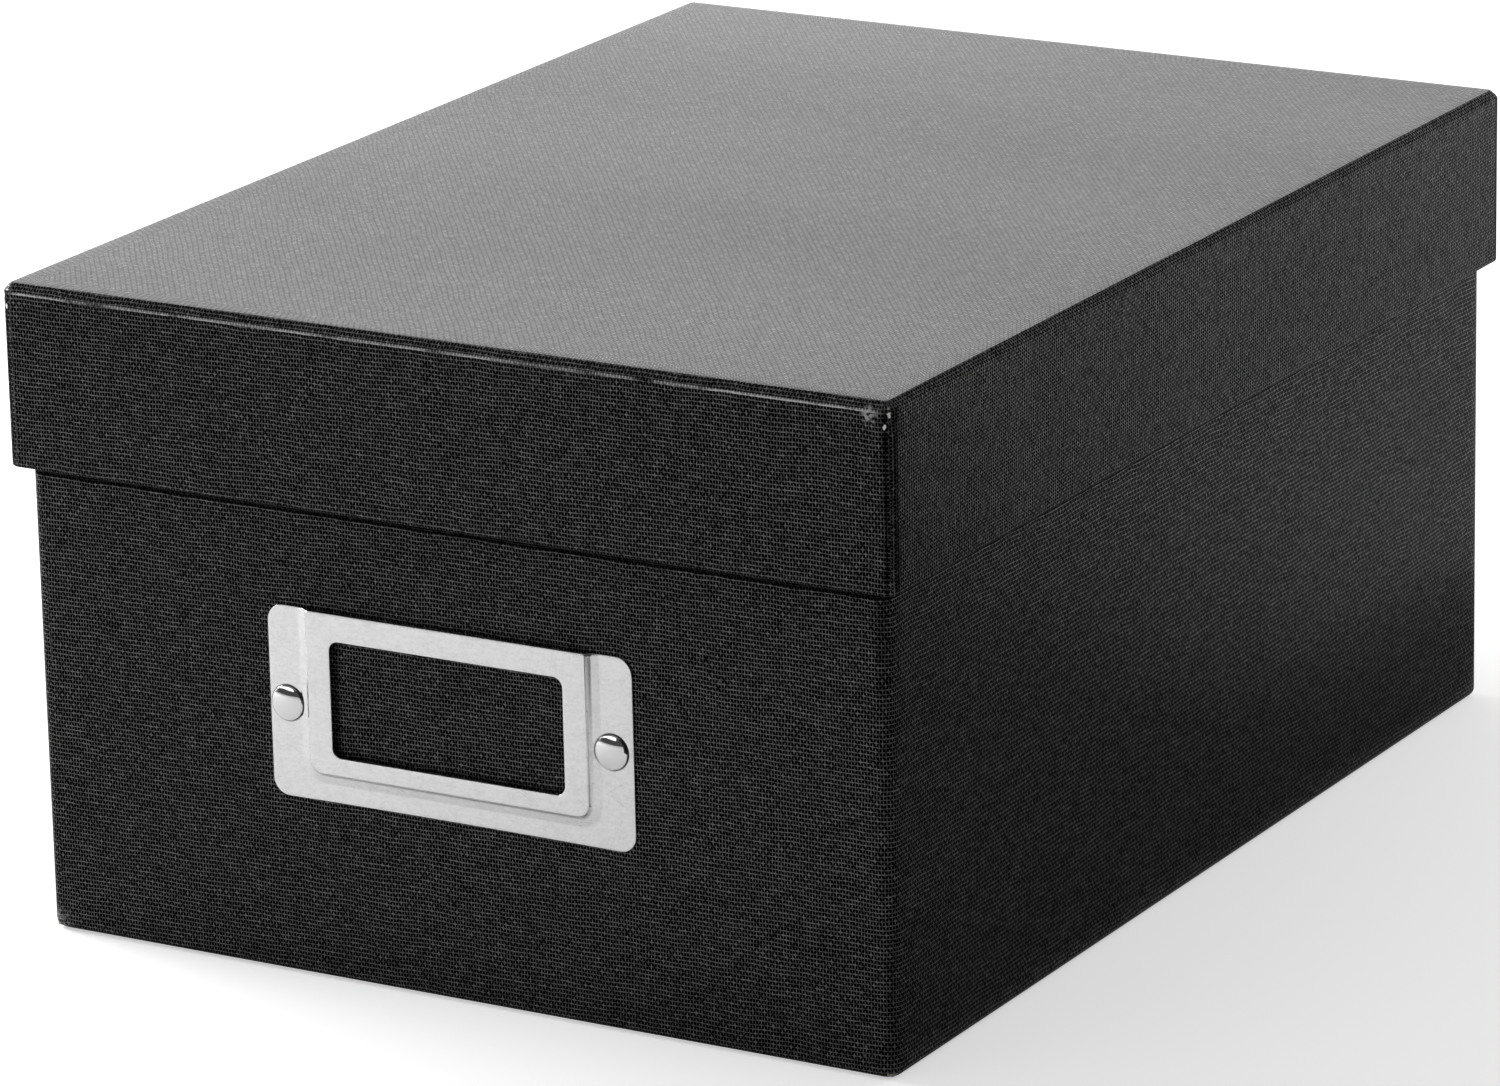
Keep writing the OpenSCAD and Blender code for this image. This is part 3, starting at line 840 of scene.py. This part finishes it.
def one_brad():
    """A split brad about the origin, its head towards -Y and its prongs bent open behind."""
    around, dome_steps, shoulder_steps, bend_steps, prong_steps = 64, 12, 7, 6, 6
    upright = math.radians(86)                # where the shoulder ends
    sphere = DOME_R / math.sin(DOME_SLOPE)
    section = [(0.0, HEAD_H)]                 # a low dome, as (radius, height)
    for k in range(1, dome_steps + 1):
        r = DOME_R * k / dome_steps
        section.append((r, HEAD_H - sphere + math.sqrt(sphere ** 2 - r ** 2)))
    edge, high = section[-1]                  # then its rounded shoulder
    for k in range(1, shoulder_steps + 1):
        t = DOME_SLOPE + (upright - DOME_SLOPE) * k / shoulder_steps
        section.append((edge + SHOULDER * (math.sin(t) - math.sin(DOME_SLOPE)),
                        high - SHOULDER * (math.cos(DOME_SLOPE) - math.cos(t))))
    wall, foot = section[-1]                  # under which it turns in again
    section += [(wall, foot * 0.6), (wall - 0.05 * MM, foot * 0.4), (wall - 0.4 * MM, 0.03 * MM),
                (0.0, 0.02 * MM)]
    points, faces, rings = [], [], []
    turns = [math.tau * k / around for k in range(around)]
    for r, h in section:
        start = len(points)
        if r == 0.0:
            points.append((0.0, -h, 0.0))
            rings.append([start] * around)
        else:
            points += [(r * math.cos(t), -h, r * math.sin(t)) for t in turns]
            rings.append(list(range(start, start + around)))
    for a, b in zip(rings, rings[1:]):
        # a triangle where one ring is a point
        faces += [tuple(dict.fromkeys(quad)) for quad in band(a, b)]
    through = SHEET + PAPER + BOARD + LINING
    outer = PRONG_BEND + PRONG_THICK
    bend = through - PRONG_BEND               # where a prong begins to bend
    for side in (-1, 1):
        # a prong's two faces, as (distance from the middle, depth)
        line = [(0.0, -0.05 * MM), (0.0, bend)]
        inner = [(PRONG_THICK, -0.05 * MM), (PRONG_THICK, bend)]
        for k in range(1, bend_steps + 1):
            t = math.radians(90 * k / bend_steps)
            line.append((outer - outer * math.cos(t), bend + outer * math.sin(t)))
            inner.append((outer - PRONG_BEND * math.cos(t), bend + PRONG_BEND * math.sin(t)))
        for k in range(1, prong_steps + 1):
            reach = outer + PRONG_LONG * k / prong_steps
            line.append((reach, through + PRONG_THICK))
            inner.append((reach, through))
        half = [PRONG_WIDE / 2] * (len(line) - len(PRONG_TIP))
        half += [PRONG_WIDE * share for share in PRONG_TIP]
        cuts = []
        for (x0, y0), (x1, y1), w in zip(line, inner, half):
            cuts.append(list(range(len(points), len(points) + 4)))
            points += [(side * x0, y0, -w), (side * x0, y0, w), (side * x1, y1, w), (side * x1, y1, -w)]
        for a, b in zip(cuts, cuts[1:]):
            faces += band(a, b)
        faces += [cuts[0], cuts[-1][::-1]]
    mesh = bpy.data.meshes.new("one brad")
    mesh.from_pydata(points, [], faces)
    shape = bmesh.new()
    shape.from_mesh(mesh)
    bmesh.ops.recalc_face_normals(shape, faces=shape.faces)
    shape.to_mesh(mesh)
    shape.free()
    mesh.polygons.foreach_set("use_smooth", [True] * len(mesh.polygons))
    return mesh


def brad_tree(finish):
    """Geometry nodes that set a brad in each of the holder's two holes, turned a little and as
    far off the hole's centre as its play lets it: both to the left, the right one higher."""
    tree = bpy.data.node_groups.new("brads", "GeometryNodeTree")
    face = tree.interface
    face.new_socket("Brad", in_out="INPUT", socket_type="NodeSocketGeometry")
    for name in ("Half spacing", "Front", "Height", "Slack", "Turn"):
        face.new_socket(name, in_out="INPUT", socket_type="NodeSocketFloat")
    face.new_socket("Brads", in_out="OUTPUT", socket_type="NodeSocketGeometry")

    def add(kind, settings=None, **links):
        """Adds a node. Its sockets are given by name, or as _0, _1 and so on by place."""
        made = tree.nodes.new(kind)
        for name, setting in (settings or {}).items():
            setattr(made, name, setting)
        for name, value in links.items():
            socket = made.inputs[int(name[1:])] if name[0] == "_" else made.inputs[name]
            if isinstance(value, bpy.types.NodeSocket):
                tree.links.new(value, socket)
            else:
                socket.default_value = value
        return made

    given = add("NodeGroupInput").outputs

    def times(value, factor):
        return add("ShaderNodeMath", {"operation": "MULTIPLY"}, _0=value, _1=factor).outputs[0]

    def moved(value, way):
        """A value moved by the slack, up or down."""
        added = {"operation": "MULTIPLY_ADD"}
        return add("ShaderNodeMath", added, _0=given["Slack"], _1=way, _2=value).outputs[0]

    def spot(x, y, z):
        return add("ShaderNodeCombineXYZ", None, X=x, Y=y, Z=z).outputs[0]

    half, front, height = (given[name] for name in ("Half spacing", "Front", "Height"))
    line = add("GeometryNodeMeshLine", {"mode": "END_POINTS"}, Count=2)
    left = spot(moved(times(half, -1.0), -1.0), front, moved(height, -1.0))
    right = spot(moved(half, -1.0), front, moved(height, 1.0))
    tree.links.new(left, line.inputs["Start Location"])
    tree.links.new(right, line.inputs["Offset"])
    low, high = spot(0.0, times(given["Turn"], -1.0), 0.0), spot(0.0, given["Turn"], 0.0)
    turn = add("FunctionNodeRandomValue", {"data_type": "FLOAT_VECTOR"}, _0=low, _1=high, _8=BRAD_SEED)
    placed = add("GeometryNodeInstanceOnPoints", None, Points=line.outputs[0], Instance=given["Brad"],
                 Rotation=turn.outputs[0])
    real = add("GeometryNodeRealizeInstances", None, _0=placed.outputs[0])
    painted = add("GeometryNodeSetMaterial", None, Geometry=real.outputs[0], Material=finish)
    out = tree.nodes.new("NodeGroupOutput")
    tree.links.new(painted.outputs[0], out.inputs[0])
    return tree


def brads(finish):
    maker = put("brad maker", one_brad())
    modifier = maker.modifiers.new("brads", "NODES")
    modifier.node_group = brad_tree(finish)
    values = {"Half spacing": BRAD_X, "Front": FRONT - SHEET, "Height": BRAD_Z,
              "Slack": SLACK, "Turn": math.radians(6)}
    for item in modifier.node_group.interface.items_tree:
        if item.name in values:
            modifier[item.identifier] = values[item.name]
    maker.update_tag()
    bpy.context.view_layer.update()
    made = maker.evaluated_get(bpy.context.evaluated_depsgraph_get())
    mesh = bpy.data.meshes.new_from_object(made)
    maker.modifiers.clear()
    bpy.data.objects.remove(maker)
    mesh.name = "brad_pair"
    mesh.materials.clear()
    mesh.materials.append(finish)
    mesh.polygons.foreach_set("material_index", [0] * len(mesh.polygons))
    piece = put("brad_pair", mesh)
    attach(piece, "base")
    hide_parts("left_brad", "right_brad")


# ---- floor, light and camera -------------------------------------------------------------------

def studio():
    """A pale floor and surroundings: bright behind the box, dim on the camera's side."""
    sky = Finish("surroundings", world=True)
    way = sky.node("ShaderNodeTexCoord", out="Generated")
    x, y, z = sky.parts(way)
    behind = (y * 0.72 - x * 0.69).step(0.05, 0.9)
    low = 1 - z.step(0.31, 0.48)
    left = (y * 0.5 - x * 0.87).step(0.76, 0.9)
    over = z.step(0.5, 0.9)
    level = 0.06 + 2.9 * behind * low * (0.76 + 0.35 * left) + 0.36 * over
    rays = sky.node("ShaderNodeLightPath", out="Is Camera Ray")
    light = sky.node("ShaderNodeBackground", {}, {0: (1.0, 1.0, 1.0, 1.0), 1: level})
    white = sky.node("ShaderNodeBackground", {}, {0: (1.0, 1.0, 1.0, 1.0), 1: 1.0})
    both = sky.node("ShaderNodeMixShader", {}, {0: rays, 1: light, 2: white})
    bpy.context.scene.world = sky.close(both, "ShaderNodeOutputWorld")

    def flat_sheet(name, corners, finish):
        mesh = bpy.data.meshes.new(name)
        mesh.from_pydata(corners, [], [tuple(range(len(corners)))])
        mesh.materials.append(finish)
        return put(name, mesh)

    f = Finish("pale floor")
    grain = f.clouds(f.place(), 3.0, 2)
    plain = f.node("ShaderNodeBsdfDiffuse", {}, {"Color": f.blend(grain, 0.84, 0.86)})
    glow = f.node("ShaderNodeEmission", {}, {"Strength": 0.5})
    seen = f.node("ShaderNodeAddShader", {}, {0: plain, 1: glow})
    rays = f.node("ShaderNodeLightPath", out="Is Camera Ray")
    paint = f.node("ShaderNodeMixShader", {}, {0: rays, 1: plain, 2: seen})
    reach = 6.0
    corners = [(-reach, -reach, 0), (reach, -reach, 0), (reach, reach, 0), (-reach, reach, 0)]
    floor = flat_sheet("floor", corners, f.close(paint))

    def softbox(name, spot, aim, wide, tall, power, glossy=True):
        data = bpy.data.lights.new(name, "AREA")
        data.shape, data.size, data.size_y, data.energy = "RECTANGLE", wide, tall, power
        lamp = put(name, data)
        lamp.location = spot
        lamp.visible_camera, lamp.visible_glossy = False, glossy
        lamp.rotation_euler = (Vector(aim) - Vector(spot)).to_track_quat("-Z", "Y").to_euler()

    # name, place, aim, width, height and watts
    softbox("key", (-1.10, -0.05, 0.60), (0, 0, 0.0), 0.55, 0.40, 12.7)
    softbox("fill", (-0.95, -1.50, 0.52), (0, -0.1, 0.1), 1.3, 0.36, 2.7)
    softbox("back", (0.60, 0.90, 0.32), (0.29, 0.50, 0), 0.35, 0.25, 3.2, glossy=False)

    def card(name, corners, tone):
        """A sheet that shows only in what is glossy."""
        f = Finish(name)
        dull = f.node("ShaderNodeBsdfDiffuse", {}, {"Color": (tone, tone, tone, 1.0)})
        piece = flat_sheet(name, corners, f.close(dull))
        piece.visible_camera = piece.visible_diffuse = False
        piece.visible_shadow = piece.visible_transmission = False

    # the standing card darkens the upright corner, the holder's right bend and the brads' far sides;
    # the lying one is a painted floor shadow, seen only in reflections: it darkens the right sides'
    # foot and their front end
    near, far, tall = (0.055, -0.360), (0.42, -0.120), 0.45
    card("black card", [(*near, 0.0), (*far, 0.0), (*far, tall), (*near, tall)], 0.01)
    lying = [(0.099, -0.18), (0.36, -0.18), (0.42, 0.37), (0.145, 0.09), (0.135, 0.21), (0.099, 0.21)]
    card("floor shadow card", [(x, y, 0.6 * MM) for x, y in lying], 0.25)


def camera():
    """The photograph's view, found by fitting a camera to the box's corners in it."""
    focal = 7797.0                              # pixels
    spot = Vector((0.75897, -1.32257, 0.52333))
    azimuth, fall, roll = (math.radians(a) for a in (30.135, 17.004, -1.239))
    ahead = Vector((-math.sin(azimuth) * math.cos(fall), math.cos(azimuth) * math.cos(fall),
                    -math.sin(fall)))
    level = Vector((math.cos(azimuth), math.sin(azimuth), 0))
    up = level.cross(ahead)
    right = level * math.cos(roll) + up * math.sin(roll)
    up = right.cross(ahead)
    data = bpy.data.cameras.new("camera")
    data.sensor_width = 36.0
    data.lens = focal / PHOTO_SIZE[0] * data.sensor_width
    data.clip_start, data.clip_end = 0.05, 50.0
    view = put("camera", data)
    view.matrix_world = Matrix((
        (right.x, up.x, -ahead.x, spot.x),
        (right.y, up.y, -ahead.y, spot.y),
        (right.z, up.z, -ahead.z, spot.z),
        (0, 0, 0, 1)))
    bpy.context.scene.camera = view


# ---- make it ------------------------------------------------------------------------------------

camera()
studio()
lid_cover(covering_paper(LID_PAPER, LID_X, LID_Y, LID_LOW, LID_TOP))
base_cover(covering_paper(BASE_PAPER, BASE_X, BASE_Y, BASE_LOW, BASE_TOP))
label_holder(satin_steel())
brads(bright_nickel())

finishes = {"greyboard": greyboard(), "stay_tape": stay_tape(), "lining_paper": lining_paper()}
slots = {part["node"]: part["material_slot"] for part in frame["record"]["subparts"]}
for name, node in frame["nodes"].items():
    if slots[name] in finishes:
        node.data.materials.clear()
        node.data.materials.append(finishes[slots[name]])

bpy.context.scene.view_settings.view_transform = "Standard"
